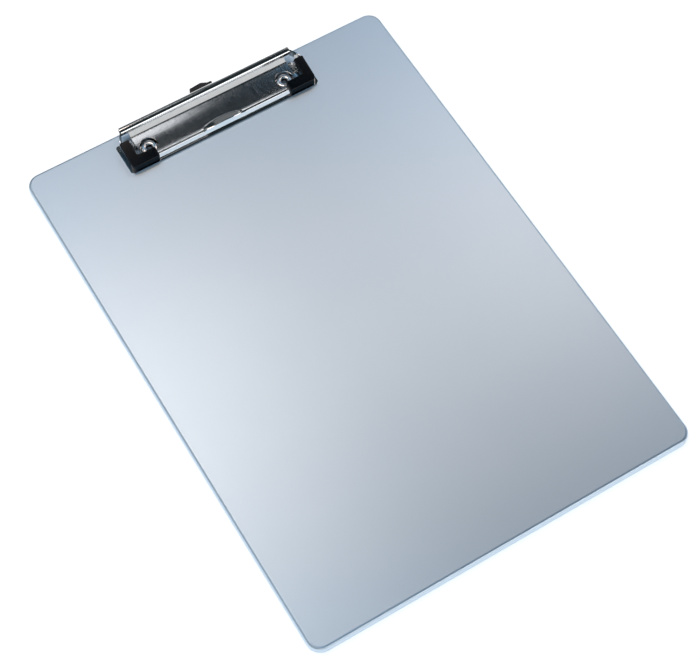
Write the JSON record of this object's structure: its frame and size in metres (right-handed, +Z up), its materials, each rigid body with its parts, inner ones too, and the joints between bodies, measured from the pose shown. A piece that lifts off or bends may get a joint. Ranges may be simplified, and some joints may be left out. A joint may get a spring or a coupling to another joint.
{
  "type": "clipboard",
  "caption": "Folded aluminium clipboard with a low sprung clip, black rubber corner grips and a pull-out hanging loop.",
  "frame": {"origin": "middle of the whole footprint, hanging loop's tip included, on the surface that the board lies on", "axes": "+X to the reader's right across the board, +Y towards the clip end, +Z up out of the board's face"},
  "size_m": [0.228, 0.327, 0.0138],
  "materials": {
    "board_aluminium": "fine satin anodised",
    "nickel_plate": "bright nickel plate, brushed on the flat",
    "eyelet_steel": "nickel plated, tumbled",
    "pin_steel": "plain ground steel",
    "spring_wire": "bright spring wire",
    "black_rubber": "moulded, soft sheen",
    "loop_plastic": "moulded, matt"
  },
  "bodies": {
    "board": {"board_panel": "board_aluminium", "clip_base": "nickel_plate", "eyelet_left": "eyelet_steel", "eyelet_right": "eyelet_steel", "hinge_pin_left": "pin_steel", "hinge_pin_right": "pin_steel", "torsion_spring_left": "spring_wire", "torsion_spring_right": "spring_wire"},
    "lever": {"clip_lever": "nickel_plate", "rubber_corner_left": "black_rubber", "rubber_corner_right": "black_rubber"},
    "loop": {"hanging_loop": "loop_plastic"}
  },
  "joints": [
    {"name": "lever_hinge", "type": "hinge", "parent": "board", "child": "lever", "pos_m": [0, 0.1423, 0.0097], "axis": [-1, 0, 0], "range_deg": [0, 19], "stiffness_Nm_per_rad": 0.1, "springref_deg": -40.11, "deforming": ["torsion_spring_left", "torsion_spring_right"]},
    {"name": "loop_slide", "type": "slide", "parent": "board", "child": "loop", "axis": [0, 1, 0], "range_m": [0, 0.012]}
  ]
}
